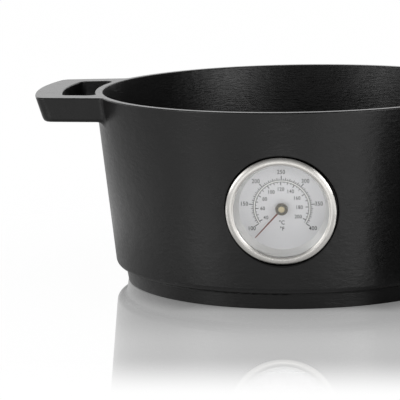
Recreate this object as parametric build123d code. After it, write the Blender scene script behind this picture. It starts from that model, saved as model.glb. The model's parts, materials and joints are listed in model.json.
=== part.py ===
from build123d import *
import os
from math import cos, hypot, radians, sin, tan

# Cast dutch oven pot with a dial thermometer sunk in its wall.
# Millimetres. Z is the pot's axis and z = 0 the surface that it stands on.
# The two loop handles point along +X and -X, and the dial faces -Y.

# Pot casting
pot_height = 120.0
rim_radius = 126.0
wall_thickness = 4.7
wall_taper = 5.8
floor_thickness = 6.0
foot_height = 10.3
foot_step = 7.5
foot_lean = 9.5
foot_land = 9.0
foot_hollow = 1.0
foot_edge_round = 0.8
foot_neck_round = 2.0
outer_corner_round = 3.8
inner_corner_round = 16.5
rim_outer_round = 0.8
rim_inner_round = 0.7
seam_angle = 45.0

# Loop handles, cast with the pot
handle_reach = 37.6
handle_thickness = 15.2
handle_bar_width = 17.3
handle_root_half_width = 51.4
handle_side_angle = 5.25
handle_arm_width = 14.0
finger_gap_side_angle = 6.5
handle_end_lean = 17.0
handle_corner_round = 7.0
finger_gap_corner_round = 4.5
handle_bottom_round = 2.6
handle_root_round = 5.0

# Recess in the wall and the boss that closes it inside
dial_height = 60.8
dial_tilt = 7.0
recess_edge_round = 0.8
boss_wall = 3.8
boss_side = 4.0
boss_edge_round = 3.0
boss_root_round = 3.0

# Thermometer case, measured along the dial's axis from the recess floor outwards
pad_thickness = 0.5
pad_radius = 10.5
case_sheet = 0.6
case_front_radius = 31.0
case_step = 2.2
movement_space = 3.1
dial_sheet = 0.6
surround_height = 6.0
surround_top_land = 1.9
surround_bottom_land = 4.7
lens_thickness = 2.0
gasket_thickness = 0.5
gasket_width = 1.6
bezel_skirt_wall = 1.65
bezel_skirt_length = 4.0
bezel_crown = 0.5
bezel_lip_width = 4.45
bezel_lip_sheet = 0.4
bezel_edge_drop = 0.3
bezel_edge_round = 0.5
bezel_set_back = 1.1
case_corner_round = 0.5
lens_edge_round = 0.2
seal_gap = 0.75
seal_squeeze_clearance = 0.1

# Magnets that hold the thermometer in the recess
magnet_radius = 4.0
magnet_length = 2.6
magnet_circle = 20.0
magnet_count = 3
magnet_edge_round = 0.3

# Movement
spindle_radius = 0.6
rear_bearing_radius = 1.8
rear_bearing_flange = 2.6
rear_bearing_stand = 0.35
rear_bearing_blind = 0.2
front_bearing_radius = 1.3
front_bearing_collar = 2.0
front_bearing_collar_height = 0.3
dial_hole_radius = 1.7
collet_radius = 1.5
coil_strip = 0.22
coil_pitch = 1.3
coil_turns = 6
coil_tail = 2.4
coil_start_angle = 90
stud_shoulder = 0.3
stud_stand = 0.2
bridge_sheet = 0.8
bridge_width = 5.0
bridge_foot_gap = 2.0
bridge_foot_radius = 2.0
screw_radius = 0.6
screw_head_radius = 1.3
screw_head_height = 0.55
screw_slot_width = 0.35
screw_slot_depth = 0.2

# Pointer, drawn at the position that it has in the photograph
pointer_length = 23.7
pointer_hub_radius = 3.7
pointer_hub_height = 0.6
pointer_hub_edge_round = 0.2
pointer_hub_lift = 3.0
pointer_sheet = 0.3
pointer_root_width = 1.0
pointer_tip_width = 0.5
pointer_angle = -137.5
bush_barrel_radius = 1.2
bush_head_radius = 2.0
bush_head_height = 0.8
bush_dome_round = 0.6
bush_lift = 0.25

# Clearances
running_clearance = 0.03
coil_clearance = 0.06
end_clearance = 0.15
press_clearance = 0.02
seat_clearance = 0.1
thrust_clearance = 0.05

os.makedirs("parts", exist_ok=True)


def turned(corners, rounds=()):
    """Solid turned about Z from (radius, height) corners; rounds lists (corner number, radius)."""
    outline = make_face(Polyline(*corners, close=True))
    for number, radius in rounds:
        target = Vector(*corners[number])
        nearest = min(outline.vertices(), key=lambda v: (Vector(v.X, v.Y) - target).length)
        outline = fillet(nearest, radius)
    return revolve(Plane.XZ * outline, Axis.Z)


def washer(inner, outer, low, high):
    """Flat ring between two heights, or a disc when inner is 0."""
    return turned([(inner, low), (outer, low), (outer, high), (inner, high)])


def rod(place, radius, low, high):
    """Round rod along Z at a place in the plan."""
    return Pos(place[0], place[1], low) * extrude(Circle(radius), amount=high - low)


def polar(radius, angle):
    """Plan place at a radius and an angle in degrees."""
    return radius * cos(radians(angle)), radius * sin(radians(angle))


# Heights and radii of the casting, worked out from the sizes above
taper_slope = tan(radians(wall_taper))
wall_across = wall_thickness / cos(radians(wall_taper))


def wall_radius(z):
    """Outer radius of the tapered wall at a height."""
    return rim_radius - (pot_height - z) * taper_slope


foot_radius = wall_radius(foot_height + outer_corner_round) - foot_step
floor_top = foot_hollow + floor_thickness
handle_bottom = pot_height - handle_thickness
handle_end = rim_radius + handle_reach
finger_gap_end = handle_end - handle_bar_width

# Seats along the dial's axis, from the recess floor outwards
case_back = pad_thickness
case_inside = case_back + case_sheet
dial_back = case_inside + movement_space
dial_front = dial_back + dial_sheet
lens_back = dial_front + surround_height
lens_front = lens_back + lens_thickness
lip_back = lens_front + gasket_thickness
bezel_edge = lip_back + bezel_lip_sheet - bezel_edge_drop
bezel_skirt_end = lip_back - bezel_skirt_length

# Radii about the dial's axis
case_bore = case_front_radius - case_sheet
case_back_radius = case_front_radius - case_step
bezel_bore = case_front_radius + press_clearance
bezel_outer_radius = bezel_bore + bezel_skirt_wall
bezel_lip_radius = bezel_outer_radius - bezel_lip_width
recess_radius = bezel_outer_radius + seal_gap
recess_depth = bezel_edge + bezel_set_back
boss_radius = recess_radius + boss_side
loose_radius = case_bore - seat_clearance

dial_outward = Vector(0, -cos(radians(dial_tilt)), -sin(radians(dial_tilt)))
wall_point = Vector(0, -wall_radius(dial_height), dial_height)
recess_centre = wall_point - dial_outward * recess_depth
dial_plane = Plane(origin=recess_centre, x_dir=(1, 0, 0), z_dir=dial_outward)


def save(solid, node):
    """Writes one node and prints what it holds."""
    export_step(solid, f"parts/{node}.step")
    print(node, "solids", len(solid.solids()), "volume", round(solid.volume, 1))


def save_at_dial(solid, node):
    """Writes a node that is built on Z from the recess floor, at its place in the wall."""
    save(dial_plane * solid, node)


# Pot casting: tapered wall, foot, two loop handles, recess and boss.
# Round solids start their seam away from the handles and the dial.
seam = Rot(0, 0, seam_angle)


def pot_outside():
    """Tapered body and the stepped foot below it, without the rim's rounds."""
    body = turned(
        [
            (0, foot_height),
            (wall_radius(foot_height), foot_height),
            (rim_radius, pot_height),
            (0, pot_height),
        ],
        [(1, outer_corner_round)],
    )
    foot_top = foot_height + outer_corner_round / 2
    foot = turned(
        [
            (0, 0),
            (foot_radius, 0),
            (foot_radius + foot_top * tan(radians(foot_lean)), foot_top),
            (0, foot_top),
        ],
        [(1, foot_edge_round)],
    )
    body = body + foot
    rings = [
        edge
        for edge in body.edges().filter_by(GeomType.CIRCLE)
        if edge.radius > foot_radius and foot_height - 0.1 < edge.center().Z < foot_top
    ]
    neck = min(rings, key=lambda edge: edge.radius)
    return seam * fillet(neck, foot_neck_round)


def pot_cavity():
    """The inside of the pot, run past the rim."""
    top = pot_height + wall_thickness
    return seam * turned(
        [
            (0, floor_top),
            (wall_radius(floor_top) - wall_across, floor_top),
            (wall_radius(top) - wall_across, top),
            (0, top),
        ],
        [(1, inner_corner_round)],
    )


def wedge_plan(half_width, angle):
    """Plan of a bar along +X: half_width at the rim, narrowing outwards by angle on each side."""
    far = 2 * handle_end
    near_y = half_width + rim_radius * tan(radians(angle))
    far_y = half_width - (far - rim_radius) * tan(radians(angle))
    return make_face(Polyline((0, -near_y), (far, -far_y), (far, far_y), (0, near_y), close=True))


def level_edges(solid, height, inside):
    """The solid's edges that lie flat at a height, outside a radius about the pot's axis."""
    found = []
    for edge in solid.edges():
        box = edge.bounding_box()
        middle = edge.position_at(0.5)
        flat = abs(box.min.Z - height) < 0.01 and abs(box.max.Z - height) < 0.01
        if flat and hypot(middle.X, middle.Y) > inside:
            found.append(edge)
    return found


def handle():
    """Loop handle on the +X side with its finger gap; its root runs into the wall."""
    wall_at_bottom = wall_radius(handle_bottom)
    root = wall_at_bottom - wall_thickness / 2
    gap_root = wall_at_bottom - wall_thickness / 4
    lean = handle_thickness * tan(radians(handle_end_lean))
    band = Rot(0, 0, 90) * turned(
        [
            (root, handle_bottom),
            (handle_end - lean, handle_bottom),
            (handle_end, pot_height),
            (root, pot_height),
        ],
    )
    plan = wedge_plan(handle_root_half_width, handle_side_angle)
    block = band & (Pos(0, 0, handle_bottom) * extrude(plan, amount=handle_thickness))
    tips = [
        edge
        for edge in block.edges()
        if edge.position_at(0.5).X > rim_radius
        and edge.bounding_box().size.Z > 0.9 * handle_thickness
    ]
    block = fillet(tips, handle_corner_round)
    gap = wedge_plan(handle_root_half_width - handle_arm_width, finger_gap_side_angle)
    gap = (gap & Circle(finger_gap_end)) - Circle(gap_root)
    tips = [v for v in gap.vertices() if hypot(v.X, v.Y) > finger_gap_end - 0.01]
    gap = fillet(tips, finger_gap_corner_round)
    block = block - (Pos(0, 0, handle_bottom) * extrude(gap, amount=handle_thickness))
    return fillet(level_edges(block, handle_bottom, wall_at_bottom), handle_bottom_round)


def root_edges(solid):
    """The edges where the handles meet the tapered wall, below the rim."""
    found = []
    for edge in solid.edges():
        middle = edge.position_at(0.5)
        on_wall = abs(hypot(middle.X, middle.Y) - wall_radius(middle.Z)) < 0.2
        beside_handle = handle_bottom - 0.1 < middle.Z < pot_height - 0.1
        if on_wall and beside_handle and edge.geom_type != GeomType.LINE:
            found.append(edge)
    return found


def recess_boss():
    """Round boss behind the recess, cut to the outside of the pot."""
    boss = seam * turned(
        [
            (0, -boss_wall),
            (boss_radius, -boss_wall),
            (boss_radius, recess_depth),
            (0, recess_depth),
        ],
        [(1, boss_edge_round)],
    )
    return dial_plane * boss


def recess_mouth(solid):
    """The edge of the recess where it opens through the tapered wall."""
    found = []
    for edge in solid.edges():
        place = dial_plane.to_local_coords(edge.position_at(0.25))
        on_recess = abs(hypot(place.X, place.Y) - recess_radius) < 0.01
        if on_recess and place.Z > 0.1 and edge.length > recess_radius:
            found.append(edge)
    return found


def boss_root(solid):
    """The edge where the boss leaves the inside of the wall."""
    found = []
    for edge in solid.edges():
        place = dial_plane.to_local_coords(edge.position_at(0.25))
        on_boss = abs(hypot(place.X, place.Y) - boss_radius) < 0.01
        if on_boss and place.Z > boss_edge_round - boss_wall + 0.01 and edge.length > boss_radius:
            found.append(edge)
    return found


def pot_casting():
    """Outside with handles, rounds and cavity first, then the boss, the foot's hollow and the recess."""
    outside = pot_outside()
    one_handle = handle()
    body = outside + one_handle + Rot(0, 0, 180) * one_handle
    body = fillet(root_edges(body), handle_root_round)
    body = fillet(level_edges(body, pot_height, 0), rim_outer_round)
    body = body - pot_cavity()
    mouth = rim_radius - wall_across
    outer_edges = level_edges(body, pot_height, mouth + rim_inner_round)
    inner_edges = [edge for edge in level_edges(body, pot_height, 0) if edge not in outer_edges]
    body = fillet(inner_edges, rim_inner_round)
    body = body + (recess_boss() & outside)
    body = fillet(boss_root(body), boss_root_round)
    body = body - seam * washer(0, foot_radius - foot_land, -foot_hollow, foot_hollow)
    body = body - dial_plane * (seam * washer(0, recess_radius, 0, 2 * recess_depth))
    return fillet(recess_mouth(body), recess_edge_round)


save(pot_casting(), "pot_casting")


# Heat pad between the case and the recess floor
save_at_dial(washer(0, pad_radius, 0, pad_thickness), "heat_pad")


# Magnets: discs that stand on the recess floor, through holes in the case
magnet_places = [polar(magnet_circle, 90 + 360 / magnet_count * number) for number in range(magnet_count)]
magnet = turned(
    [
        (0, 0),
        (magnet_radius, 0),
        (magnet_radius, magnet_length),
        (0, magnet_length),
    ],
    [(1, magnet_edge_round), (2, magnet_edge_round)],
)
save_at_dial(Compound([Pos(x, y) * magnet for x, y in magnet_places]), "magnets")


# Seal: round cord ring between the case and the recess wall, below the bezel's skirt
seal_section = (recess_radius - case_front_radius) / 2 - seal_squeeze_clearance
seal_middle = (recess_radius + case_front_radius) / 2
seal_height = bezel_skirt_end - seal_section - seat_clearance
seal_outline = Plane.XZ * (Pos(seal_middle, seal_height) * Circle(seal_section))
save_at_dial(revolve(seal_outline, Axis.Z), "seal_ring")


# Heights of the movement between the case floor and the dial
coil_low = case_inside + rear_bearing_stand + end_clearance
bridge_high = dial_back - seat_clearance
bridge_low = bridge_high - bridge_sheet
collar_low = bridge_low - front_bearing_collar_height
coil_high = collar_low - end_clearance
bush_low = dial_front + bush_lift
hub_low = dial_front + pointer_hub_lift
hub_high = hub_low + pointer_hub_height
bush_high = hub_high + bush_head_height
spindle_low = case_back + rear_bearing_blind + thrust_clearance
spindle_high = hub_high + bush_head_height / 2

# The spiral's inner end lies round the collet, and its outer end runs straight through the stud
half_strip = coil_strip / 2
coil_inner = collet_radius + coil_clearance + half_strip
coil_outer = coil_inner + coil_pitch * coil_turns
coil_turn = Rot(0, 0, coil_start_angle)
stud_place = (coil_outer, coil_tail / 2)
stud_radius = coil_pitch - half_strip - seat_clearance
stud_pin_radius = stud_radius - stud_shoulder
bridge_half_span = coil_outer + bridge_foot_gap + bridge_foot_radius
bridge_feet = [(-bridge_half_span, 0), (bridge_half_span, 0)]


# Rear case: stepped cup, with holes for the magnets, the screws, the rear bearing and the stud
def case_hole(place, radius):
    """Cutter for a hole in the case floor that a round piece of this radius passes through."""
    return rod(place, radius + press_clearance, 0, case_inside + case_sheet)


shoulder = dial_back - case_sheet
rear_case = turned(
    [
        (0, case_back),
        (case_back_radius, case_back),
        (case_back_radius, shoulder),
        (case_front_radius, shoulder),
        (case_front_radius, lip_back),
        (case_bore, lip_back),
        (case_bore, dial_back),
        (case_back_radius - case_sheet, dial_back),
        (case_back_radius - case_sheet, case_inside),
        (0, case_inside),
    ],
    [(1, case_corner_round)],
)
for place in magnet_places:
    rear_case = rear_case - case_hole(place, magnet_radius)
for place in bridge_feet:
    rear_case = rear_case - case_hole(place, screw_radius)
rear_case = rear_case - case_hole((0, 0), rear_bearing_radius)
rear_case = rear_case - coil_turn * case_hole(stud_place, stud_pin_radius)
save_at_dial(rear_case, "rear_case")


# Bezel: a skirt over the case and a rounded front whose lip holds the lens down
bezel_middle = bezel_lip_radius + bezel_lip_width / 2
bezel_front = lip_back + bezel_lip_sheet + bezel_crown
lip_end = (bezel_lip_radius, lip_back + bezel_lip_sheet)
bezel_outline = Curve() + [
    Polyline(lip_end, (bezel_lip_radius, lip_back), (bezel_bore, lip_back)),
    Line((bezel_bore, lip_back), (bezel_bore, bezel_skirt_end)),
    Line((bezel_bore, bezel_skirt_end), (bezel_outer_radius, bezel_skirt_end)),
    Line((bezel_outer_radius, bezel_skirt_end), (bezel_outer_radius, bezel_edge)),
    ThreePointArc((bezel_outer_radius, bezel_edge), (bezel_middle, bezel_front), lip_end),
]
bezel_section = make_face(bezel_outline)
outer_edge = Vector(bezel_outer_radius, bezel_edge)
nearest = min(bezel_section.vertices(), key=lambda v: (Vector(v.X, v.Y) - outer_edge).length)
bezel_section = fillet(nearest, bezel_edge_round)
save_at_dial(revolve(Plane.XZ * bezel_section, Axis.Z), "bezel_ring")


# Lens, and the gasket between it and the bezel's lip
save_at_dial(washer(loose_radius - gasket_width, loose_radius, lens_front, lip_back), "lens_gasket")

lens = turned(
    [
        (0, lens_back),
        (loose_radius, lens_back),
        (loose_radius, lens_front),
        (0, lens_front),
    ],
    [(1, lens_edge_round), (2, lens_edge_round)],
)
save_at_dial(lens, "lens")


# Sloped ring between the lens and the dial, and the dial plate on the case's shoulder
dial_surround = turned(
    [
        (loose_radius - surround_bottom_land, dial_front),
        (loose_radius, dial_front),
        (loose_radius, lens_back),
        (loose_radius - surround_top_land, lens_back),
    ],
)
save_at_dial(dial_surround, "dial_surround")
save_at_dial(washer(dial_hole_radius, loose_radius, dial_back, dial_front), "dial_plate")


# Bearings, and the bridge that carries the front one on two feet.
# The rear bearing is blind and goes through the case floor
rear_bearing = turned(
    [
        (0, case_back),
        (rear_bearing_radius, case_back),
        (rear_bearing_radius, case_inside),
        (rear_bearing_flange, case_inside),
        (rear_bearing_flange, case_inside + rear_bearing_stand),
        (spindle_radius + running_clearance, case_inside + rear_bearing_stand),
        (spindle_radius + running_clearance, case_back + rear_bearing_blind),
        (0, case_back + rear_bearing_blind),
    ],
)
save_at_dial(rear_bearing, "rear_bearing")

# The front bearing hangs by its collar under the bridge and reaches through the dial's hole
front_bearing = turned(
    [
        (spindle_radius + running_clearance, collar_low),
        (front_bearing_collar, collar_low),
        (front_bearing_collar, bridge_low),
        (front_bearing_radius, bridge_low),
        (front_bearing_radius, bush_low - end_clearance),
        (spindle_radius + running_clearance, bush_low - end_clearance),
    ],
)
save_at_dial(front_bearing, "front_bearing")


def screw_shape(extra):
    """Countersunk screw on Z, or its hole when extra is a clearance."""
    return turned(
        [
            (0, case_back + thrust_clearance),
            (screw_radius + extra, case_back + thrust_clearance),
            (screw_radius + extra, bridge_high - screw_head_height),
            (screw_head_radius + extra, bridge_high),
            (0, bridge_high),
        ],
    )


bridge_plan = SlotCenterToCenter(2 * bridge_half_span, bridge_width)
bridge = Pos(0, 0, bridge_low) * extrude(bridge_plan, amount=bridge_sheet)
for place in bridge_feet:
    bridge = bridge + rod(place, bridge_foot_radius, case_inside, bridge_low)
for place in bridge_feet:
    bridge = bridge - Pos(*place) * screw_shape(press_clearance)
bridge = bridge - rod((0, 0), front_bearing_radius + press_clearance, case_inside, dial_back)
save_at_dial(bridge, "bearing_bridge")

# The screws go through the feet, with their slotted heads flush in the bridge
screw_slot = Pos(0, 0, bridge_high) * Box(4 * screw_head_radius, screw_slot_width, 2 * screw_slot_depth)
screw = screw_shape(0) - screw_slot
save_at_dial(Compound([Pos(*place) * screw for place in bridge_feet]), "bridge_screws")


# Bimetal spiral: half turns about two centres, so that each turn is a pitch further out
def spiral_side(offset):
    """One edge of the strip, as half-turn arcs, offset from its middle line."""
    arcs = []
    for half in range(2 * coil_turns):
        centre = (0, 0) if half % 2 == 0 else (coil_pitch / 2, 0)
        start = 0 if half % 2 == 0 else 180
        radius = coil_inner + half * coil_pitch / 2 + offset
        arcs.append(CenterArc(centre, radius, start, 180))
    return arcs


strip_outline = Curve() + [
    *spiral_side(half_strip),
    *spiral_side(-half_strip),
    Line((coil_inner - half_strip, 0), (coil_inner + half_strip, 0)),
    Line((coil_outer + half_strip, 0), (coil_outer + half_strip, coil_tail)),
    Line((coil_outer + half_strip, coil_tail), (coil_outer - half_strip, coil_tail)),
    Line((coil_outer - half_strip, coil_tail), (coil_outer - half_strip, 0)),
]
strip = Pos(0, 0, coil_low) * extrude(make_face(strip_outline), amount=coil_high - coil_low)
save_at_dial(coil_turn * strip, "bimetal_coil")

# Stud: a pin riveted in the case floor, slotted for the strip's outer end
stud_high = coil_high + stud_stand
stud = rod(stud_place, stud_pin_radius, case_back, case_inside)
stud = stud + rod(stud_place, stud_radius, case_inside, stud_high)
slot_width = coil_strip + 2 * press_clearance
slot_height = stud_high - coil_low + press_clearance
stud_slot = Pos(*stud_place, stud_high - slot_height / 2) * Box(slot_width, 4 * stud_radius, slot_height)
save_at_dial(coil_turn * (stud - stud_slot), "coil_stud")


# Turning pieces: spindle, coil collet, pointer bush and pointer
save_at_dial(rod((0, 0), spindle_radius, spindle_low, spindle_high), "spindle")
save_at_dial(washer(spindle_radius + press_clearance, collet_radius, coil_low, coil_high), "coil_collet")

bush_bore = spindle_radius + press_clearance
pointer_bush = turned(
    [
        (bush_bore, bush_low),
        (bush_barrel_radius, bush_low),
        (bush_barrel_radius, hub_high),
        (bush_head_radius, hub_high),
        (bush_head_radius, bush_high),
        (0, bush_high),
        (0, spindle_high + thrust_clearance),
        (bush_bore, spindle_high + thrust_clearance),
    ],
    [(4, bush_dome_round)],
)
save_at_dial(pointer_bush, "pointer_bush")

hub = turned(
    [
        (bush_barrel_radius + press_clearance, hub_low),
        (pointer_hub_radius, hub_low),
        (pointer_hub_radius, hub_high),
        (bush_barrel_radius + press_clearance, hub_high),
    ],
    [(2, pointer_hub_edge_round)],
)
blade_start = (pointer_hub_radius + bush_barrel_radius) / 2
blade = make_face(
    Polyline(
        (-pointer_root_width / 2, blade_start),
        (pointer_root_width / 2, blade_start),
        (pointer_tip_width / 2, pointer_length),
        (-pointer_tip_width / 2, pointer_length),
        close=True,
    )
)
blade_low = hub_low + (pointer_hub_height - pointer_sheet) / 2
pointer = hub + Pos(0, 0, blade_low) * extrude(blade, amount=pointer_sheet)
save_at_dial(Rot(0, 0, -pointer_angle) * pointer, "pointer")

pivot = dial_plane.from_local_coords(Vector(0, 0, dial_front))
print("point on the pointer's axis", [round(v, 4) for v in pivot])
print("axis into the pot", [round(-v, 6) for v in dial_outward])
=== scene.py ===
import json
from math import cos, radians, sin

import bpy
import numpy as np
from mathutils import Matrix, Vector


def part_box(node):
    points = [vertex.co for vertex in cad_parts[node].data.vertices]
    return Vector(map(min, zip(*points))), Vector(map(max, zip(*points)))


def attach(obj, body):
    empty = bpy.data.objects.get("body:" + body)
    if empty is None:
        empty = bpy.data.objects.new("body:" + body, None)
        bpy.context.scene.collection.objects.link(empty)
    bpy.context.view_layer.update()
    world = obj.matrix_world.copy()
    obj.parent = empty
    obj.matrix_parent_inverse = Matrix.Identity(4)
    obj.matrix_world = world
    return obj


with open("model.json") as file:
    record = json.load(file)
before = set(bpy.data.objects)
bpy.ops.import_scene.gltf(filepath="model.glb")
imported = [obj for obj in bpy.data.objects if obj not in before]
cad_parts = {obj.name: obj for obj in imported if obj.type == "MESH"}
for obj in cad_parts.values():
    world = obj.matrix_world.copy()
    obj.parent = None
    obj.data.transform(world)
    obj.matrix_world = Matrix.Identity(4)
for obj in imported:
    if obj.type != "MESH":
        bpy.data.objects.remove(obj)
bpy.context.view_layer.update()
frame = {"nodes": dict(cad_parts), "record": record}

scene = bpy.context.scene
scene.view_settings.view_transform = "Standard"


# Camera
# A long lens in front of the pot, 18 cm above its rim and 11 cm to the right, turned a little left.
# The place and angles come from fitting the rim, foot, handle and dial to the photograph.
camera_place = Vector((0.11071, -1.4430, 0.29599))
camera_yaw = -0.11892
camera_pitch = 0.16936
camera_roll = -0.0220
lens_length = 207.64
sensor_width = 36
sight_limit = 50

look = Vector((
    sin(camera_yaw) * cos(camera_pitch),
    cos(camera_yaw) * cos(camera_pitch),
    -sin(camera_pitch),
))
level_right = Vector((cos(camera_yaw), -sin(camera_yaw), 0))
level_up = level_right.cross(look)
camera_right = cos(camera_roll) * level_right + sin(camera_roll) * level_up
camera_up = -sin(camera_roll) * level_right + cos(camera_roll) * level_up
camera_turn = Matrix((camera_right, camera_up, -look)).transposed()
camera_data = bpy.data.cameras.new("camera")
camera_data.sensor_width = sensor_width
camera_data.lens = lens_length
camera_data.clip_end = sight_limit
camera = bpy.data.objects.new("camera", camera_data)
camera.matrix_world = Matrix.Translation(camera_place) @ camera_turn.to_4x4()
scene.collection.objects.link(camera)
scene.camera = camera


# Floor
# A large sheet of cast white acrylic. Close to the pot it mirrors the pot and the studio, and the
# mirror fades to plain white outwards and towards the front. It keeps a soft shadow of the pot.
floor_half = 8.0
lit_share = 0.16
seen_white = 1.03
side_reach = 0.86
# The mirror's share of the sheet, by reach from the pot's axis in metres. The first two are added,
# and the others multiply them, the last only where the pot mirrors the sheet.
mirror_band = {"From Min": 0.11, "From Max": 0.2, "To Min": 0.63, "To Max": 0.49}
mirror_at_foot = {"From Min": 0.094, "From Max": 0.118, "To Min": 0.17, "To Max": 0.0}
mirror_end = {"From Min": 0.225, "From Max": 0.312, "To Min": 1.0, "To Max": 0.0}
calm_at_foot = {"From Min": 0.15, "From Max": 0.2, "To Min": 0.4, "To Max": 1.0}
# How bright the sheet is in the pot's and the bezel's reflections, as painted light and shade: a
# painted pool of light lies to the right and a small one in front, and painted shade lies at the foot,
# most on the right, and in two bands on the left.
pool_azimuth = 33
pool_edge = {"From Min": 0.9, "From Max": 0.98, "To Min": 0.62, "To Max": 1.0}
foot_shade_side = {"From Min": 0.14, "From Max": 0.55, "To Min": 0.55, "To Max": 0.02}
foot_shade_reach = {"From Min": 0.1, "From Max": 0.19, "To Max": 1.0}
left_side = {"From Min": -0.95, "From Max": -0.72, "To Min": 1.0, "To Max": 0.0}
left_dimming = (
    {"From Min": 0.2, "From Max": 0.27, "To Min": 0.4, "To Max": 0.0},
    {"From Min": 0.36, "From Max": 0.45, "To Min": 0.0, "To Max": 0.46},
)
front_pool = (-0.012, -0.29, 0.0)
front_pool_size = (0.055, 0.085, 1.0)
front_pool_edge = {"From Min": 0.5, "From Max": 1.0, "To Min": 1.2, "To Max": 0.0}


def linear(hex_colour):
    """sRGB hex to linear red, green and blue by the sRGB curve, and an alpha of 1."""
    srgb = [int(hex_colour[i : i + 2], 16) / 255 for i in (1, 3, 5)]
    return [c / 12.92 if c <= 0.04045 else ((c + 0.055) / 1.055) ** 2.4 for c in srgb] + [1.0]


def add(tree, kind, inputs=(), **settings):
    """Adds a node of this kind; inputs gives its sockets values, or links from other sockets."""
    node = tree.nodes.new(kind)
    for name, value in settings.items():
        setattr(node, name, value)
    for socket, value in dict(inputs).items():
        if isinstance(value, bpy.types.NodeSocket):
            tree.links.new(value, node.inputs[socket])
        else:
            node.inputs[socket].default_value = value
    return node


def material(name):
    """A new empty material and its node tree."""
    made = bpy.data.materials.new(name)
    made.use_nodes = True
    made.node_tree.nodes.clear()
    return made, made.node_tree


def mesh_piece(name, corners, faces):
    """A mesh object from arrays of corners and faces, with its place in its mesh."""
    mesh = bpy.data.meshes.new(name)
    mesh.from_pydata([tuple(corner) for corner in corners], [], [tuple(face) for face in faces])
    mesh.update()
    piece = bpy.data.objects.new(name, mesh)
    scene.collection.objects.link(piece)
    return piece


def towards(azimuth):
    """The level direction at this azimuth to the right of the front: its sine, and minus its cosine."""
    return (sin(radians(azimuth)), -cos(radians(azimuth)), 0.0)


square = [(x * floor_half, y * floor_half, 0) for x, y in ((-1, -1), (1, -1), (1, 1), (-1, 1))]
floor = mesh_piece("floor", square, [(0, 1, 2, 3)])

acrylic, tree = material("white acrylic sheet")
white = linear("#ffffff")
place = add(tree, "ShaderNodeTexCoord").outputs["Object"]
path = add(tree, "ShaderNodeLightPath")

# Reach is the larger of the distance forwards and a part of the distance from the axis.
from_axis = add(tree, "ShaderNodeVectorMath", {0: place}, operation="LENGTH").outputs["Value"]
beside = add(tree, "ShaderNodeMath", {0: from_axis, 1: side_reach}, operation="MULTIPLY").outputs[0]
apart = add(tree, "ShaderNodeSeparateXYZ", {0: place})
forwards = add(tree, "ShaderNodeMath", {0: apart.outputs["Y"], 1: -1.0}, operation="MULTIPLY").outputs[0]
reach = add(tree, "ShaderNodeMath", {0: beside, 1: forwards}, operation="MAXIMUM").outputs[0]

# The glow that the pot and bezel mirror, with its painted pools of light and painted shade.
plan = add(tree, "ShaderNodeVectorMath", {0: place}, operation="NORMALIZE").outputs[0]
sideways = add(tree, "ShaderNodeSeparateXYZ", {0: plan}).outputs["X"]
pool_side = add(
    tree,
    "ShaderNodeVectorMath",
    {0: plan, 1: towards(pool_azimuth)},
    operation="DOT_PRODUCT",
)
mirrored = add(
    tree,
    "ShaderNodeMapRange",
    {"Value": pool_side.outputs["Value"], **pool_edge},
    interpolation_type="SMOOTHSTEP",
)
foot_shade = add(tree, "ShaderNodeMapRange", {"Value": sideways, **foot_shade_side})
shade = add(
    tree,
    "ShaderNodeMapRange",
    {"Value": reach, "To Min": foot_shade.outputs[0], **foot_shade_reach},
    interpolation_type="SMOOTHSTEP",
)
mirrored = add(
    tree,
    "ShaderNodeMath",
    {0: mirrored.outputs[0], 1: shade.outputs[0]},
    operation="MULTIPLY",
)
to_left = add(
    tree,
    "ShaderNodeMapRange",
    {"Value": sideways, **left_side},
    interpolation_type="SMOOTHSTEP",
)
for dimming in left_dimming:
    taken = add(
        tree,
        "ShaderNodeMapRange",
        {"Value": from_axis, **dimming},
        interpolation_type="SMOOTHSTEP",
    )
    taken = add(
        tree,
        "ShaderNodeMath",
        {0: taken.outputs[0], 1: to_left.outputs[0]},
        operation="MULTIPLY",
    )
    kept = add(tree, "ShaderNodeMath", {0: 1.0, 1: taken.outputs[0]}, operation="SUBTRACT")
    mirrored = add(
        tree,
        "ShaderNodeMath",
        {0: mirrored.outputs[0], 1: kept.outputs[0]},
        operation="MULTIPLY",
    )
off_pool = add(tree, "ShaderNodeVectorMath", {0: place, 1: front_pool}, operation="SUBTRACT")
off_pool = add(
    tree,
    "ShaderNodeVectorMath",
    {0: off_pool.outputs[0], 1: front_pool_size},
    operation="DIVIDE",
)
off_pool = add(tree, "ShaderNodeVectorMath", {0: off_pool.outputs[0]}, operation="LENGTH")
pool = add(
    tree,
    "ShaderNodeMapRange",
    {"Value": off_pool.outputs["Value"], **front_pool_edge},
    interpolation_type="SMOOTHSTEP",
)
mirrored = add(tree, "ShaderNodeMath", {0: mirrored.outputs[0], 1: pool.outputs[0]})

# The mirror. Its gloss has no roughness at all, because the black card is left out of what the
# camera sees in it, and that needs a perfectly sharp mirror.
gentle = add(
    tree,
    "ShaderNodeMapRange",
    {"Value": reach, **mirror_band},
    interpolation_type="SMOOTHSTEP",
)
at_foot = add(
    tree,
    "ShaderNodeMapRange",
    {"Value": reach, **mirror_at_foot},
    interpolation_type="SMOOTHSTEP",
)
ending = add(
    tree,
    "ShaderNodeMapRange",
    {"Value": reach, **mirror_end},
    interpolation_type="SMOOTHSTEP",
)
calm = add(
    tree,
    "ShaderNodeMapRange",
    {"Value": reach, **calm_at_foot},
    interpolation_type="SMOOTHSTEP",
)
calm = add(
    tree,
    "ShaderNodeMix",
    {0: path.outputs["Is Glossy Ray"], 2: 1.0, 3: calm.outputs[0]},
    data_type="FLOAT",
)
share = add(tree, "ShaderNodeMath", {0: gentle.outputs[0], 1: at_foot.outputs[0]})
for part in (ending, calm):
    share = add(tree, "ShaderNodeMath", {0: share.outputs[0], 1: part.outputs[0]}, operation="MULTIPLY")

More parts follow.
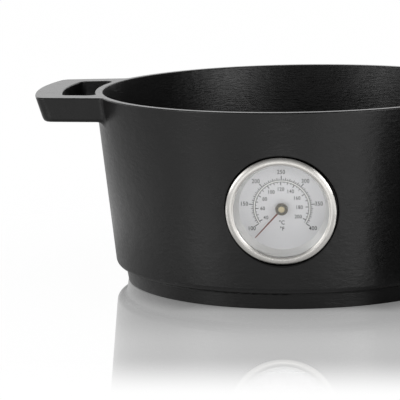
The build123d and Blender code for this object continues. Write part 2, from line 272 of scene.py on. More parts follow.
# Only rays that show the sheet meet its glow and mirror. The lit share under them takes the shadow.
shown = path.outputs["Is Camera Ray"]
for ray in ("Is Glossy Ray", "Is Transmission Ray"):
    shown = add(tree, "ShaderNodeMath", {0: shown, 1: path.outputs[ray]}, operation="MAXIMUM").outputs[0]
brightness = add(
    tree,
    "ShaderNodeMix",
    {0: path.outputs["Is Glossy Ray"], 2: seen_white, 3: mirrored.outputs[0]},
    data_type="FLOAT",
)
lit = add(tree, "ShaderNodeBsdfDiffuse", {"Color": linear("#fafafa")})
glow = add(tree, "ShaderNodeEmission", {"Color": white, "Strength": brightness.outputs[0]})
mirror = add(tree, "ShaderNodeBsdfGlossy", {"Color": white, "Roughness": 0.0})
glow_share = add(tree, "ShaderNodeMath", {0: shown, 1: 1 - lit_share}, operation="MULTIPLY")
mirror_share = add(tree, "ShaderNodeMath", {0: shown, 1: share.outputs[0]}, operation="MULTIPLY")
pale = add(
    tree,
    "ShaderNodeMixShader",
    {0: glow_share.outputs[0], 1: lit.outputs[0], 2: glow.outputs[0]},
)
whole = add(
    tree,
    "ShaderNodeMixShader",
    {0: mirror_share.outputs[0], 1: pale.outputs[0], 2: mirror.outputs[0]},
)
add(tree, "ShaderNodeOutputMaterial", {"Surface": whole.outputs[0]})
floor.data.materials.append(acrylic)


# Studio
# A room of painted walls, white behind the pot, grey behind the camera, black on the right and with
# two white walls in front. A tall soft box of white cloth stands on each side in front.
room_light = 0.86
back_wall = {"From Min": -0.45, "From Max": 0.25, "To Min": 0.4, "To Max": 1.0}
# Added to the height of a direction towards the back wall, so that the ceiling begins higher there.
back_wall_rise = -0.16
ceiling_grey = {"From Min": 0.05, "From Max": 0.46, "To Min": 1.0, "To Max": 0.3}
black_azimuth = 105
black_wall = {"From Min": 0.7, "From Max": 0.86, "To Min": 1.0, "To Max": 0.12}
# Azimuth and strength of the white walls, the edge of each, and their upper end.
white_walls = ((47, 1.7), (-53, 1.1))
wall_edge = {"From Min": 0.85, "From Max": 0.97, "To Min": 0.0}
wall_top = {"From Min": 0.16, "From Max": 0.34, "To Min": 1.0, "To Max": 0.0}
soft_boxes = (("left_soft_box", -1.04, -0.8, 1.75), ("right_soft_box", 0.96, -0.9, 1.95))
soft_box_width = 0.42
soft_box_height = 0.9
soft_box_foot = 0.02

world = bpy.data.worlds.new("white and grey room")
scene.world = world
world.use_nodes = True
tree = world.node_tree
tree.nodes.clear()
path = add(tree, "ShaderNodeLightPath")
direction = add(tree, "ShaderNodeTexCoord").outputs["Generated"]
apart = add(tree, "ShaderNodeSeparateXYZ", {0: direction})
behind = add(
    tree,
    "ShaderNodeMapRange",
    {"Value": apart.outputs["Y"], **back_wall},
    interpolation_type="SMOOTHSTEP",
)
height = add(
    tree,
    "ShaderNodeMath",
    {0: behind.outputs[0], 1: back_wall_rise, 2: apart.outputs["Z"]},
    operation="MULTIPLY_ADD",
)
above = add(
    tree,
    "ShaderNodeMapRange",
    {"Value": height.outputs[0], **ceiling_grey},
    interpolation_type="SMOOTHSTEP",
)
to_right = add(
    tree,
    "ShaderNodeVectorMath",
    {0: direction, 1: towards(black_azimuth)},
    operation="DOT_PRODUCT",
)
right = add(
    tree,
    "ShaderNodeMapRange",
    {"Value": to_right.outputs["Value"], **black_wall},
    interpolation_type="SMOOTHSTEP",
)
room = add(tree, "ShaderNodeMath", {0: behind.outputs[0], 1: above.outputs[0]}, operation="MULTIPLY")
room = add(tree, "ShaderNodeMath", {0: room.outputs[0], 1: right.outputs[0]}, operation="MULTIPLY")
low = add(
    tree,
    "ShaderNodeMapRange",
    {"Value": apart.outputs["Z"], **wall_top},
    interpolation_type="SMOOTHSTEP",
)
for azimuth, strength in white_walls:
    facing = add(
        tree,
        "ShaderNodeVectorMath",
        {0: direction, 1: towards(azimuth)},
        operation="DOT_PRODUCT",
    )
    wall = add(
        tree,
        "ShaderNodeMapRange",
        {"Value": facing.outputs["Value"], "To Max": strength, **wall_edge},
        interpolation_type="SMOOTHSTEP",
    )
    wall = add(tree, "ShaderNodeMath", {0: wall.outputs[0], 1: low.outputs[0]}, operation="MULTIPLY")
    room = add(tree, "ShaderNodeMath", {0: room.outputs[0], 1: wall.outputs[0]})

# The camera sees plain white, reflections see the room, and the rest is even light.
lighting = add(tree, "ShaderNodeBackground", {"Color": white, "Strength": room_light})
background = add(tree, "ShaderNodeBackground", {"Color": white, "Strength": 1.0})
mirrored = add(tree, "ShaderNodeBackground", {"Color": white, "Strength": room.outputs[0]})
seen = add(
    tree,
    "ShaderNodeMath",
    {0: path.outputs["Is Camera Ray"], 1: path.outputs["Is Transmission Ray"]},
    operation="MAXIMUM",
)
with_mirror = add(
    tree,
    "ShaderNodeMixShader",
    {0: path.outputs["Is Glossy Ray"], 1: lighting.outputs[0], 2: mirrored.outputs[0]},
)
mixed = add(
    tree,
    "ShaderNodeMixShader",
    {0: seen.outputs[0], 1: with_mirror.outputs[0], 2: background.outputs[0]},
)
add(tree, "ShaderNodeOutputWorld", {"Surface": mixed.outputs[0]})

for name, x, y, watts in soft_boxes:
    data = bpy.data.lights.new(name, "AREA")
    data.shape = "RECTANGLE"
    data.size = soft_box_width
    data.size_y = soft_box_height
    data.energy = watts
    lamp = bpy.data.objects.new(name, data)
    lamp.location = (x, y, soft_box_height / 2 + soft_box_foot)
    lamp.rotation_euler = Vector((-x, -y, 0)).to_track_quat("-Z", "Y").to_euler()
    scene.collection.objects.link(lamp)


# Black card
# Black card folded round the pot's right side, in two upright walls and a flap on the floor, as a
# studio sets one up to give a glossy side its dark edge. Only reflections show it.
card_gap = 0.001
# Each post's place on the floor and its height, then the flap's corners.
card_posts = ((0.147, -0.185, 0.08), (0.178, -0.142, 0.12), (0.33, 0.06, 0.12))
card_flap = ((0.16, -0.03, card_gap), (0.085, -0.118, card_gap), (0.128, -0.19, card_gap))
card_faces = [(0, 1, 4, 3), (1, 2, 5, 4), (0, 1, 2, 6, 7, 8)]
# The camera's ray has a depth of 0 and its mirror image in the floor one of 1.
first_mirror = 1.5


def in_floor(tree):
    """1 for what the camera sees in the floor's mirror, a sharp ray of depth 1, and 0 for the rest."""
    path = add(tree, "ShaderNodeLightPath")
    first = add(
        tree,
        "ShaderNodeMath",
        {0: path.outputs["Ray Depth"], 1: first_mirror},
        operation="LESS_THAN",
    )
    both = add(
        tree,
        "ShaderNodeMath",
        {0: path.outputs["Is Singular Ray"], 1: first.outputs[0]},
        operation="MULTIPLY",
    )
    return both.outputs[0]


card_feet = [(*post[:2], card_gap) for post in card_posts]
card = mesh_piece("black_card", [*card_feet, *card_posts, *card_flap], card_faces)
card.visible_camera = False
card.visible_diffuse = False
card.visible_shadow = False
card.visible_transmission = False
card_black, tree = material("black card")
black = add(tree, "ShaderNodeBsdfDiffuse", {"Color": linear("#050505")})
away = add(tree, "ShaderNodeBsdfTransparent")
shader = add(tree, "ShaderNodeMixShader", {0: in_floor(tree), 1: black.outputs[0], 2: away.outputs[0]})
add(tree, "ShaderNodeOutputMaterial", {"Surface": shader.outputs[0]})
card.data.materials.append(card_black)


# Pot casting
# Grey iron cast in sand in one piece with its foot and handles, then sprayed and fired with black
# satin enamel. The coat softens the sand's grain to a faint mottle outside and short level ripples
# inside, and it lies smoother on the rim and handle tops, which were ground flat.
mottle_size = 0.011
mottle_height = 0.001
patch_size = 0.02
patch_strength = {"From Min": 0.42, "From Max": 0.66, "To Min": 0.75, "To Max": 1.6}
# The sand's grain is 0.3 to 0.5 mm, too fine to show. It is drawn some four times as coarse, and
# longer sideways, so that it shows. The ripples inside are about 1 mm high and 5 mm long.
grain_size = 0.0018
grain_stretch = 0.45
grain_height = 0.0004
ripple_size = 0.0011
ripple_stretch = 0.24
grain_outside = 0.36
grain_inside = 0.5
grain_on_tops = 0.12
top_roughness = 0.24
ground_depth = 0.0002
# The wall leans out by the tangent of 5.8 degrees. Inside is inwards of the middle of its thickness.
wall_slope = 0.1016
wall_middle_at_rim = 0.1237
pot_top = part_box("pot_casting")[1].z


def finish_node(name, made):
    """Gives a CAD node this material."""
    mesh = frame["nodes"][name].data
    mesh.materials.clear()
    mesh.materials.append(made)


enamel, tree = material("black satin enamel")
place = add(tree, "ShaderNodeTexCoord").outputs["Object"]
apart = add(tree, "ShaderNodeSeparateXYZ", {0: place})
plan = add(tree, "ShaderNodeVectorMath", {0: place, 1: (1.0, 1.0, 0.0)}, operation="MULTIPLY")
radius = add(tree, "ShaderNodeVectorMath", {0: plan.outputs[0]}, operation="LENGTH")
drop = add(tree, "ShaderNodeMath", {0: pot_top, 1: apart.outputs["Z"]}, operation="SUBTRACT")
lean = add(tree, "ShaderNodeMath", {0: drop.outputs[0], 1: wall_slope}, operation="MULTIPLY")
reach = add(tree, "ShaderNodeMath", {0: radius.outputs["Value"], 1: lean.outputs[0]}, operation="ADD")
inside = add(
    tree,
    "ShaderNodeMath",
    {0: reach.outputs[0], 1: wall_middle_at_rim},
    operation="LESS_THAN",
)
ground = add(tree, "ShaderNodeMath", {0: drop.outputs[0], 1: ground_depth}, operation="LESS_THAN")

clouds = add(tree, "ShaderNodeTexNoise", {"Vector": place, "Scale": 1 / mottle_size, "Detail": 3.0})
patches = add(tree, "ShaderNodeTexNoise", {"Vector": place, "Scale": 1 / patch_size, "Detail": 3.0})
drawn = add(
    tree,
    "ShaderNodeVectorMath",
    {0: place, 1: (grain_stretch, grain_stretch, 1.0)},
    operation="MULTIPLY",
)
grains = add(
    tree,
    "ShaderNodeTexNoise",
    {"Vector": drawn.outputs[0], "Scale": 1 / grain_size, "Detail": 3.0, "Roughness": 0.62},
)
level = add(
    tree,
    "ShaderNodeVectorMath",
    {0: place, 1: (ripple_stretch, ripple_stretch, 1.0)},
    operation="MULTIPLY",
)
ripples = add(
    tree,
    "ShaderNodeTexNoise",
    {"Vector": level.outputs[0], "Scale": 1 / ripple_size, "Detail": 3.0, "Roughness": 0.65},
)
skin = add(
    tree,
    "ShaderNodeMix",
    {0: inside.outputs[0], 2: grains.outputs[0], 3: ripples.outputs[0]},
    data_type="FLOAT",
)
depth = add(
    tree,
    "ShaderNodeMapRange",
    {"Value": inside.outputs[0], "To Min": grain_outside, "To Max": grain_inside},
)
patchy = add(
    tree,
    "ShaderNodeMapRange",
    {"Value": patches.outputs[0], **patch_strength},
    interpolation_type="SMOOTHSTEP",
)
depth = add(tree, "ShaderNodeMath", {0: depth.outputs[0], 1: patchy.outputs[0]}, operation="MULTIPLY")
depth = add(
    tree,
    "ShaderNodeMix",
    {0: ground.outputs[0], 2: depth.outputs[0], 3: grain_on_tops},
    data_type="FLOAT",
)
fine_bump = add(
    tree,
    "ShaderNodeBump",
    {"Height": skin.outputs[0], "Strength": depth.outputs[0], "Distance": grain_height},
)
bump = add(
    tree,
    "ShaderNodeBump",
    {
        "Height": clouds.outputs[0],
        "Strength": 0.25,
        "Distance": mottle_height,
        "Normal": fine_bump.outputs[0],
    },
)
tone = add(
    tree,
    "ShaderNodeMix",
    {0: clouds.outputs[0], 6: linear("#080808"), 7: linear("#0e0e0e")},
    data_type="RGBA",
)
sheen = add(
    tree,
    "ShaderNodeMapRange",
    {"Value": grains.outputs[0], "From Min": 0.3, "From Max": 0.7, "To Min": 0.28, "To Max": 0.35},
)
sheen = add(
    tree,
    "ShaderNodeMix",
    {0: ground.outputs[0], 2: sheen.outputs[0], 3: top_roughness},
    data_type="FLOAT",
)
shader = add(
    tree,
    "ShaderNodeBsdfPrincipled",
    {
        "Base Color": tone.outputs[2],
        "Roughness": sheen.outputs[0],
        "IOR": 1.5,
        "Normal": bump.outputs[0],
    },
)
add(tree, "ShaderNodeOutputMaterial", {"Surface": shader.outputs[0]})
finish_node("pot_casting", enamel)


# Bezel
# A ring spun from stainless sheet and polished on the lathe. Its skirt slips over the case and its
# rounded front holds the lens down. The polishing lines run round it and fan the light out sideways.
# They are about 0.02 mm apart, too fine to show, and are drawn ten times as coarse.
line_pitch = 0.00022
line_waver = 3.0
smudge_size = 0.009
pivot = frame["record"]["behaviour"]["joints"][0]
dial_centre = Vector(pivot["pos_m"])
dial_outward = -Vector(pivot["axis"])
dial_right = Vector((1, 0, 0))
dial_up = dial_outward.cross(dial_right)
dial_turn = Matrix((dial_right, dial_up, dial_outward)).transposed().to_euler()


def about_dial(tree):
    """Object coordinates in the dial's frame: x to the right, y up and z outwards from its face."""
    place = add(tree, "ShaderNodeTexCoord").outputs["Object"]
    mapping = add(
        tree,
        "ShaderNodeMapping",
        {"Vector": place, "Location": dial_centre, "Rotation": dial_turn},
        vector_type="TEXTURE",
    )
    return mapping.outputs[0]


def lathe_lines(tree, pitch, waver):
    """Noise read at the direction from the dial's axis times the waver, plus the radius over the pitch.

    It changes with every pitch of radius and only slowly round the axis.
    """
    place = about_dial(tree)
    plan = add(tree, "ShaderNodeVectorMath", {0: place, 1: (1.0, 1.0, 0.0)}, operation="MULTIPLY").outputs[0]
    around = add(tree, "ShaderNodeVectorMath", {0: plan}, operation="NORMALIZE").outputs[0]
    around = add(tree, "ShaderNodeVectorMath", {0: around, "Scale": waver}, operation="SCALE").outputs[0]
    radius = add(tree, "ShaderNodeVectorMath", {0: plan}, operation="LENGTH").outputs["Value"]
    count = add(tree, "ShaderNodeMath", {0: radius, 1: 1 / pitch}, operation="MULTIPLY").outputs[0]
    count = add(tree, "ShaderNodeCombineXYZ", {"Z": count}).outputs[0]
    spread = add(tree, "ShaderNodeVectorMath", {0: around, 1: count}, operation="ADD").outputs[0]
    return add(tree, "ShaderNodeTexNoise", {"Vector": spread, "Scale": 1.0, "Detail": 2.0}).outputs[0]


def outwards_from_axis(tree):
    """The direction away from the dial's axis: the axis crossed with the offset, crossed with the axis."""
    place = add(tree, "ShaderNodeTexCoord").outputs["Object"]
    away = add(tree, "ShaderNodeVectorMath", {0: place, 1: dial_centre}, operation="SUBTRACT")
    round_it = add(
        tree,
        "ShaderNodeVectorMath",
        {0: dial_outward, 1: away.outputs[0]},
        operation="CROSS_PRODUCT",
    )
    across = add(
        tree,
        "ShaderNodeVectorMath",
        {0: round_it.outputs[0], 1: dial_outward},
        operation="CROSS_PRODUCT",
    )
    return add(tree, "ShaderNodeVectorMath", {0: across.outputs[0]}, operation="NORMALIZE").outputs[0]


polished, tree = material("lathe polished stainless steel")
lines = lathe_lines(tree, line_pitch, line_waver)
place = add(tree, "ShaderNodeTexCoord").outputs["Object"]
smudges = add(tree, "ShaderNodeTexNoise", {"Vector": place, "Scale": 1 / smudge_size, "Detail": 3.0})
rough = add(
    tree,
    "ShaderNodeMapRange",
    {"Value": smudges.outputs[0], "From Min": 0.3, "From Max": 0.7, "To Min": 0.21, "To Max": 0.26},
)
tone = add(tree, "ShaderNodeMix", {0: lines, 6: linear("#dddad5"), 7: linear("#eeece8")}, data_type="RGBA")
bump = add(tree, "ShaderNodeBump", {"Height": lines, "Strength": 0.08, "Distance": 0.00005})
shader = add(
    tree,
    "ShaderNodeBsdfPrincipled",
    {
        "Base Color": tone.outputs[2],
        "Metallic": 1.0,
        "Roughness": rough.outputs[0],
        "Anisotropic": 0.9,
        "Tangent": outwards_from_axis(tree),
        "Normal": bump.outputs[0],
    },
)
add(tree, "ShaderNodeOutputMaterial", {"Surface": shader.outputs[0]})
finish_node("bezel_ring", polished)


# Rear case, bridge, screws and spindle
# Stainless sheet pressed to shape, and turned steel pins. The presses leave it satin, with faint
# drawing marks. The case stands in the recess behind the bezel and hides the rest.
# Drawing marks are about 0.1 mm apart and are drawn six times as coarse, so that they show.
drawing_pitch = 0.0006
drawing_waver = 6.0
cloud_size = 0.006

pressed, tree = material("pressed stainless steel")
place = add(tree, "ShaderNodeTexCoord").outputs["Object"]
lines = lathe_lines(tree, drawing_pitch, drawing_waver)
cloudy = add(tree, "ShaderNodeTexNoise", {"Vector": place, "Scale": 1 / cloud_size, "Detail": 3.0}).outputs[0]
rough = add(
    tree,
    "ShaderNodeMapRange",
    {"Value": cloudy, "From Min": 0.3, "From Max": 0.7, "To Min": 0.34, "To Max": 0.46},
)
tone = add(tree, "ShaderNodeMix", {0: cloudy, 6: linear("#a9a7a3"), 7: linear("#bdbbb8")}, data_type="RGBA")
bump = add(tree, "ShaderNodeBump", {"Height": lines, "Strength": 0.2, "Distance": 0.0001})
shader = add(
    tree,
    "ShaderNodeBsdfPrincipled",
    {
        "Base Color": tone.outputs[2],
        "Metallic": 1.0,
        "Roughness": rough.outputs[0],
        "Normal": bump.outputs[0],
    },
)
add(tree, "ShaderNodeOutputMaterial", {"Surface": shader.outputs[0]})
for name in ("rear_case", "bearing_bridge", "bridge_screws", "spindle"):
    finish_node(name, pressed)


# Seal, gasket and heat pad
# Moulded black silicone cord and washer, and a grey silicone pad filled with heat conducting powder.
# They are pressed in dry, and show a matt skin with a little dust and the mould's fine grain, which
# is about 0.1 mm and is drawn six times as coarse, so that it shows.
mould_grain = 0.0006
dust_size = 0.005

for label, dark, light, names in (
    ("moulded black silicone", "#101011", "#191919", ("seal_ring", "lens_gasket")),
    ("grey filled silicone pad", "#686c72", "#7a7e84", ("heat_pad",)),
):
    silicone, tree = material(label)
    place = add(tree, "ShaderNodeTexCoord").outputs["Object"]
    grain = add(tree, "ShaderNodeTexNoise", {"Vector": place, "Scale": 1 / mould_grain, "Detail": 2.0})
    dust = add(tree, "ShaderNodeTexNoise", {"Vector": place, "Scale": 1 / dust_size, "Detail": 3.0})
    dust = dust.outputs[0]
    tone = add(tree, "ShaderNodeMix", {0: dust, 6: linear(dark), 7: linear(light)}, data_type="RGBA")
    rough = add(tree, "ShaderNodeMapRange", {"Value": dust, "To Min": 0.62, "To Max": 0.8})
    bump = add(tree, "ShaderNodeBump", {"Height": grain.outputs[0], "Strength": 0.3, "Distance": 0.00008})
    shader = add(
        tree,
        "ShaderNodeBsdfPrincipled",
        {
            "Base Color": tone.outputs[2],
            "Roughness": rough.outputs[0],
            "IOR": 1.42,
            "Normal": bump.outputs[0],
        },
    )
    add(tree, "ShaderNodeOutputMaterial", {"Surface": shader.outputs[0]})
    for name in names:
        finish_node(name, silicone)


# Magnets
# Sintered discs of magnet alloy that stand on the recess floor, through holes in the case. Their
# barrel plated nickel coat is silvery, a little warm, and slightly orange peeled.
peel_size = 0.0008
stain_size = 0.003

nickel, tree = material("barrel plated nickel")
place = add(tree, "ShaderNodeTexCoord").outputs["Object"]
peel = add(tree, "ShaderNodeTexNoise", {"Vector": place, "Scale": 1 / peel_size, "Detail": 2.0}).outputs[0]
stain = add(tree, "ShaderNodeTexNoise", {"Vector": place, "Scale": 1 / stain_size, "Detail": 3.0}).outputs[0]
tone = add(tree, "ShaderNodeMix", {0: stain, 6: linear("#b9b2a6"), 7: linear("#cfc9bf")}, data_type="RGBA")
rough = add(tree, "ShaderNodeMapRange", {"Value": stain, "To Min": 0.2, "To Max": 0.34})
bump = add(tree, "ShaderNodeBump", {"Height": peel, "Strength": 0.15, "Distance": 0.00005})
shader = add(
    tree,
    "ShaderNodeBsdfPrincipled",
    {
        "Base Color": tone.outputs[2],
        "Metallic": 1.0,
        "Roughness": rough.outputs[0],
        "Normal": bump.outputs[0],
    },
)
add(tree, "ShaderNodeOutputMaterial", {"Surface": shader.outputs[0]})
finish_node("magnets", nickel)


# Lens
# A disc of soda lime float glass with ground edges, held between the surround and the gasket. It is
# clear, with faint wipe marks that only dull its reflections.
wipe_size = 0.02

glass, tree = material("soda lime float glass")
place = add(tree, "ShaderNodeTexCoord").outputs["Object"]
wiped = add(tree, "ShaderNodeTexNoise", {"Vector": place, "Scale": 1 / wipe_size, "Detail": 2.0}).outputs[0]
rough = add(
    tree,
    "ShaderNodeMapRange",
    {"Value": wiped, "From Min": 0.45, "From Max": 0.75, "To Min": 0.0, "To Max": 0.03},
)
pane = add(
    tree,
    "ShaderNodeBsdfPrincipled",
    {
        "Base Color": linear("#fdfdfd"),
        "Roughness": rough.outputs[0],
        "IOR": 1.52,
        "Transmission Weight": 1.0,
    },
)
clear = add(tree, "ShaderNodeBsdfTransparent")
path = add(tree, "ShaderNodeLightPath")
both = add(
    tree,
    "ShaderNodeMixShader",
    {0: path.outputs["Is Shadow Ray"], 1: pane.outputs[0], 2: clear.outputs[0]},
)
add(tree, "ShaderNodeOutputMaterial", {"Surface": both.outputs[0]})
finish_node("lens", glass)


# Surround
# A sloped ring turned from aluminium bar and left with a satin cut, between the dial and the lens.
# Its turning lines catch the side lights as soft bands. They are about 0.05 mm apart and are drawn
# six times as coarse, so that they show.
turning_pitch = 0.0003
turning_waver = 4.0

satin, tree = material("satin turned aluminium")
lines = lathe_lines(tree, turning_pitch, turning_waver)
rough = add(tree, "ShaderNodeMapRange", {"Value": lines, "To Min": 0.34, "To Max": 0.42})
tone = add(tree, "ShaderNodeMix", {0: lines, 6: linear("#e6e6e4"), 7: linear("#f2f2f0")}, data_type="RGBA")
bump = add(tree, "ShaderNodeBump", {"Height": lines, "Strength": 0.15, "Distance": 0.00006})
shader = add(
    tree,
    "ShaderNodeBsdfPrincipled",
    {
        "Base Color": tone.outputs[2],
        "Metallic": 1.0,
        "Roughness": rough.outputs[0],
        "Anisotropic": 0.9,
        "Tangent": outwards_from_axis(tree),
        "Normal": bump.outputs[0],
    },
)
add(tree, "ShaderNodeOutputMaterial", {"Surface": shader.outputs[0]})
finish_node("dial_surround", satin)


# Dial plate
# A disc of thin aluminium sheet, sprayed with a silver lacquer. Its flakes give an even satin grey
# with a fine sparkle, and the sheet's rolling lines show through very faintly, from side to side.
# Flakes are 0.04 mm and rolling lines 0.05 mm, too fine to show: both are drawn ten times as coarse.
flake_size = 0.0004
rolling_pitch = 0.0005
rolling_stretch = (0.05, 1.0, 1.0)

silvered, tree = material("silver lacquered aluminium")
place = about_dial(tree)
flakes = add(tree, "ShaderNodeTexNoise", {"Vector": place, "Scale": 1 / flake_size, "Detail": 1.0}).outputs[0]
long = add(tree, "ShaderNodeVectorMath", {0: place, 1: rolling_stretch}, operation="MULTIPLY").outputs[0]
rolled = add(tree, "ShaderNodeTexNoise", {"Vector": long, "Scale": 1 / rolling_pitch, "Detail": 2.0})
tone = add(
    tree,
    "ShaderNodeMix",
    {0: rolled.outputs[0], 6: linear("#eeeef0"), 7: linear("#f6f6f8")},
    data_type="RGBA",
)
rough = add(tree, "ShaderNodeMapRange", {"Value": flakes, "To Min": 0.46, "To Max": 0.58})
bump = add(tree, "ShaderNodeBump", {"Height": flakes, "Strength": 0.1, "Distance": 0.00004})
shader = add(
    tree,
    "ShaderNodeBsdfPrincipled",
    {
        "Base Color": tone.outputs[2],
        "Metallic": 0.3,
        "Roughness": rough.outputs[0],
        "Normal": bump.outputs[0],
    },
)
add(tree, "ShaderNodeOutputMaterial", {"Surface": shader.outputs[0]})
finish_node("dial_plate", silvered)


# Printed scale
# Screen printed on the dial plate in grey black ink, with a white band between two arcs: Fahrenheit
# marks and numerals outside, Celsius marks and numerals inside. 250 degrees F is at the top, and
# the scale turns 5 degrees for every 6 degrees F. Sizes on the dial are in millimetres.
turn_per_f = 125 / 150
top_f = 250
first_f = 100
last_f = 400
first_c = 40
last_c = 200
mark_step = 5
outer_arc = 16.95
inner_arc = 15.8
arc_line = 0.3
arc_steps = 120
white_width = 0.85
# Marks every so many degrees: the radius where each ends, off its arc, and its width.
marks_f = ((5, 17.9, 0.34), (10, 18.3, 0.44), (50, 19.6, 0.5))
marks_c = ((5, 15.1, 0.36), (10, 14.5, 0.44), (20, 13.9, 0.5))
numeral_step_f = 50
numeral_step_c = 20
numeral_radius_f = 21.9
numeral_radius_c = 11.4
numeral_height_f = 2.55
numeral_height_c = 2.3
# Some of the real numerals stand a little to the left of their place on the circle.
nudged_f = {150: -0.3, 200: -0.5, 300: -0.4}
nudged_c = {160: -0.6, 180: -1.0, 200: -0.6}
# Each sign's text, its height, and its place across and up the dial.
signs = (("°C", 2.7, -0.3, -9.0), ("°F", 2.6, -0.2, -12.8))
letter_narrow = 0.86
letter_bold = 0.014
letter_gap = 1.08
curve_steps = 5
# Metres off the plate. The band lies under the black ink.
ink_lift = 0.00002
band_lift = 0.00001
# A printing screen's mesh is about 0.1 mm. It is drawn three times as coarse, so that it shows.
screen_mesh = 0.0003


def at_dial(across, upwards, lift):
    """Places in the pot's frame: the dial's centre, millimetres across and up it, and metres off it."""
    across = np.asarray(across, float)[:, None] / 1000
    upwards = np.asarray(upwards, float)[:, None] / 1000
    on_face = np.array(dial_centre) + across * np.array(dial_right) + upwards * np.array(dial_up)
    return on_face + lift * np.array(dial_outward)


def f_turn(fahrenheit):
    """Radians clockwise from the top: degrees F past the top reading, times the turn for each."""
    return np.radians((np.asarray(fahrenheit, float) - top_f) * turn_per_f)


def as_f(celsius):
    """Degrees C as degrees F: nine fifths of it and 32 more."""
    return celsius * 9 / 5 + 32


def arc_strip(middle, width, lift):
    """A flat strip along the scale: radius times the sine and cosine of evenly spaced angles."""
    angles = np.linspace(f_turn(first_f), f_turn(last_f), arc_steps + 1)
    edges = (middle - width / 2, middle + width / 2)
    rings = [at_dial(r * np.sin(angles), r * np.cos(angles), lift) for r in edges]
    first = np.arange(arc_steps)
    faces = np.stack([first, first + 1, first + arc_steps + 2, first + arc_steps + 1], -1)
    return np.concatenate(rings), faces[:, ::-1]


def tick_marks(angles, inner, outer, width):
    """Flat bars along the radius: each corner is the bar's radius and half width, turned to its angle."""
    along = np.array([inner, outer, outer, inner])
    aside = np.array([-1, -1, 1, 1]) * width / 2
    across = np.outer(np.sin(angles), along) + np.outer(np.cos(angles), aside)
    upwards = np.outer(np.cos(angles), along) - np.outer(np.sin(angles), aside)
    faces = np.arange(4 * len(angles)).reshape(-1, 4)
    return at_dial(across.ravel(), upwards.ravel(), ink_lift), faces[:, ::-1]


def lettering(text, height, across, upwards):
    """Flat letters of a height, centred on a place; the plain face built into the program."""
    curve = bpy.data.curves.new("lettering", "FONT")
    curve.body = text
    curve.resolution_u = curve_steps
    curve.offset = letter_bold
    curve.space_character = letter_gap
    holder = bpy.data.objects.new("lettering", curve)
    scene.collection.objects.link(holder)
    bpy.context.view_layer.update()
    flat = bpy.data.meshes.new_from_object(holder.evaluated_get(bpy.context.evaluated_depsgraph_get()))
    spots = np.empty(3 * len(flat.vertices))
    flat.vertices.foreach_get("co", spots)
    spots = spots.reshape(-1, 3)[:, :2]
    faces = [tuple(face.vertices) for face in flat.polygons]
    bpy.data.objects.remove(holder)
    bpy.data.curves.remove(curve)
    bpy.data.meshes.remove(flat)
    low, high = spots.min(0), spots.max(0)
    spots = (spots - (low + high) / 2) * height / (high[1] - low[1])
    return at_dial(spots[:, 0] * letter_narrow + across, spots[:, 1] + upwards, ink_lift), faces


fahrenheit = np.arange(first_f, last_f + 1, mark_step)
celsius = np.arange(first_c, last_c + 1, mark_step)
prints = [arc_strip(outer_arc, arc_line, ink_lift), arc_strip(inner_arc, arc_line, ink_lift)]
for every, end, width in marks_f:
    prints.append(tick_marks(f_turn(fahrenheit[fahrenheit % every == 0]), outer_arc, end, width))
for every, end, width in marks_c:
    prints.append(tick_marks(f_turn(as_f(celsius[celsius % every == 0])), end, inner_arc, width))
for reading in range(first_f, last_f + 1, numeral_step_f):
    turn = float(f_turn(reading))
    across = numeral_radius_f * sin(turn) + nudged_f.get(reading, 0.0)
    prints.append(lettering(str(reading), numeral_height_f, across, numeral_radius_f * cos(turn)))
for reading in range(first_c, last_c + 1, numeral_step_c):
    turn = float(f_turn(as_f(reading)))
    across = numeral_radius_c * sin(turn) + nudged_c.get(reading, 0.0)
    prints.append(lettering(str(reading), numeral_height_c, across, numeral_radius_c * cos(turn)))
for sign in signs:
    prints.append(lettering(*sign))

corners = []
faces = []
for spots, shapes in prints:
    start = sum(len(c) for c in corners)
    faces.extend(tuple(int(v) + start for v in shape) for shape in shapes)
    corners.append(spots)
scale = mesh_piece("printed_scale", np.concatenate(corners), faces)
band = mesh_piece("white_band", *arc_strip((inner_arc + outer_arc) / 2, white_width, band_lift))

# Both inks are baked to a low sheen, a little uneven where the screen let them through.
for piece, label, dark, light in (
    (scale, "screen printed black ink", "#0c0c0d", "#161617"),
    (band, "screen printed white ink", "#f4f4f2", "#fcfcfa"),
):
    ink, tree = material(label)
    place = about_dial(tree)
    screen = add(tree, "ShaderNodeTexNoise", {"Vector": place, "Scale": 1 / screen_mesh, "Detail": 1.0})
    screen = screen.outputs[0]
    tone = add(tree, "ShaderNodeMix", {0: screen, 6: linear(dark), 7: linear(light)}, data_type="RGBA")
    rough = add(tree, "ShaderNodeMapRange", {"Value": screen, "To Min": 0.4, "To Max": 0.55})
    bump = add(tree, "ShaderNodeBump", {"Height": screen, "Strength": 0.1, "Distance": 0.00002})
    shader = add(
        tree,
        "ShaderNodeBsdfPrincipled",
        {
            "Base Color": tone.outputs[2],
            "Roughness": rough.outputs[0],
            "IOR": 1.5,
            "Normal": bump.outputs[0],
        },
    )
    add(tree, "ShaderNodeOutputMaterial", {"Surface": shader.outputs[0]})
    piece.data.materials.append(ink)
    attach(piece, "pot")


# Bearings, stud, collet and pointer bush
# Turned from free cutting brass bar. The tool leaves fine rings, and the bush that caps the pointer
# has dulled to a pale straw colour. The rings are about 0.05 mm apart and are drawn three times as
# coarse, so that they show.
ring_pitch = 0.00015
ring_waver = 2.0
tarnish_size = 0.0015

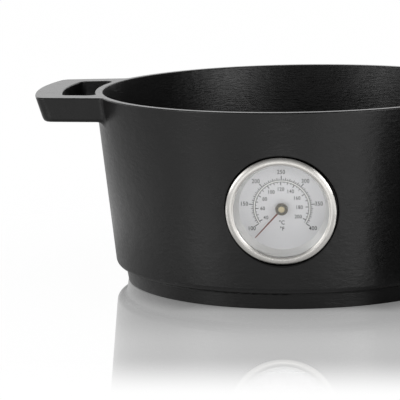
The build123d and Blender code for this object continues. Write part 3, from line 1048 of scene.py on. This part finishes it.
brass, tree = material("turned brass")
lines = lathe_lines(tree, ring_pitch, ring_waver)
place = add(tree, "ShaderNodeTexCoord").outputs["Object"]
tarnish = add(tree, "ShaderNodeTexNoise", {"Vector": place, "Scale": 1 / tarnish_size, "Detail": 3.0})
tarnish = tarnish.outputs[0]
tone = add(tree, "ShaderNodeMix", {0: tarnish, 6: linear("#b3a684"), 7: linear("#d8cba8")}, data_type="RGBA")
rough = add(tree, "ShaderNodeMapRange", {"Value": tarnish, "To Min": 0.25, "To Max": 0.42})
bump = add(tree, "ShaderNodeBump", {"Height": lines, "Strength": 0.25, "Distance": 0.00004})
shader = add(
    tree,
    "ShaderNodeBsdfPrincipled",
    {
        "Base Color": tone.outputs[2],
        "Metallic": 1.0,
        "Roughness": rough.outputs[0],
        "Normal": bump.outputs[0],
    },
)
add(tree, "ShaderNodeOutputMaterial", {"Surface": shader.outputs[0]})
for name in ("rear_bearing", "front_bearing", "coil_stud", "coil_collet", "pointer_bush"):
    finish_node(name, brass)


# Coil
# Two strips of steel alloys rolled together into one bimetal strip and wound on edge. It is satin
# steel with a faint yellow heat tint from ageing in the oven. The rolling marks run along it, about
# 0.03 mm apart, and are drawn five times as coarse, so that they show.
rolling_mark = 0.0012
rolling_across = (1.0, 1.0, 8.0)

bimetal, tree = material("rolled bimetal strip")
place = about_dial(tree)
long = add(tree, "ShaderNodeVectorMath", {0: place, 1: rolling_across}, operation="MULTIPLY").outputs[0]
rolled = add(tree, "ShaderNodeTexNoise", {"Vector": long, "Scale": 1 / rolling_mark, "Detail": 3.0})
rolled = rolled.outputs[0]
tone = add(tree, "ShaderNodeMix", {0: rolled, 6: linear("#a39a86"), 7: linear("#b9b3a4")}, data_type="RGBA")
rough = add(tree, "ShaderNodeMapRange", {"Value": rolled, "To Min": 0.3, "To Max": 0.42})
bump = add(tree, "ShaderNodeBump", {"Height": rolled, "Strength": 0.15, "Distance": 0.00004})
shader = add(
    tree,
    "ShaderNodeBsdfPrincipled",
    {
        "Base Color": tone.outputs[2],
        "Metallic": 1.0,
        "Roughness": rough.outputs[0],
        "Normal": bump.outputs[0],
    },
)
add(tree, "ShaderNodeOutputMaterial", {"Surface": shader.outputs[0]})
finish_node("bimetal_coil", bimetal)


# Pointer
# A needle and its round hub blanked from thin steel strip in one piece and pressed under the bush's
# head. The hub has a dark olive lacquer, and the needle a thin red brown one of uneven depth.
hub_radius = 0.0037
hub_edge = {"From Min": hub_radius - 0.0001, "From Max": hub_radius + 0.0004}
lacquer_size = 0.0012

lacquer, tree = material("lacquered steel strip")
place = about_dial(tree)
plan = add(tree, "ShaderNodeVectorMath", {0: place, 1: (1.0, 1.0, 0.0)}, operation="MULTIPLY")
radius = add(tree, "ShaderNodeVectorMath", {0: plan.outputs[0]}, operation="LENGTH").outputs["Value"]
needle = add(tree, "ShaderNodeMapRange", {"Value": radius, **hub_edge}).outputs[0]
thin = add(tree, "ShaderNodeTexNoise", {"Vector": place, "Scale": 1 / lacquer_size, "Detail": 3.0}).outputs[0]
on_hub = add(tree, "ShaderNodeMix", {0: thin, 6: linear("#4c4839"), 7: linear("#5d5848")}, data_type="RGBA")
on_needle = add(
    tree,
    "ShaderNodeMix",
    {0: thin, 6: linear("#6a2c24"), 7: linear("#884236")},
    data_type="RGBA",
)
tone = add(
    tree,
    "ShaderNodeMix",
    {0: needle, 6: on_hub.outputs[2], 7: on_needle.outputs[2]},
    data_type="RGBA",
)
rough = add(tree, "ShaderNodeMapRange", {"Value": thin, "To Min": 0.35, "To Max": 0.5})
bump = add(tree, "ShaderNodeBump", {"Height": thin, "Strength": 0.1, "Distance": 0.00005})
shader = add(
    tree,
    "ShaderNodeBsdfPrincipled",
    {
        "Base Color": tone.outputs[2],
        "Roughness": rough.outputs[0],
        "IOR": 1.5,
        "Normal": bump.outputs[0],
    },
)
add(tree, "ShaderNodeOutputMaterial", {"Surface": shader.outputs[0]})
finish_node("pointer", lacquer)
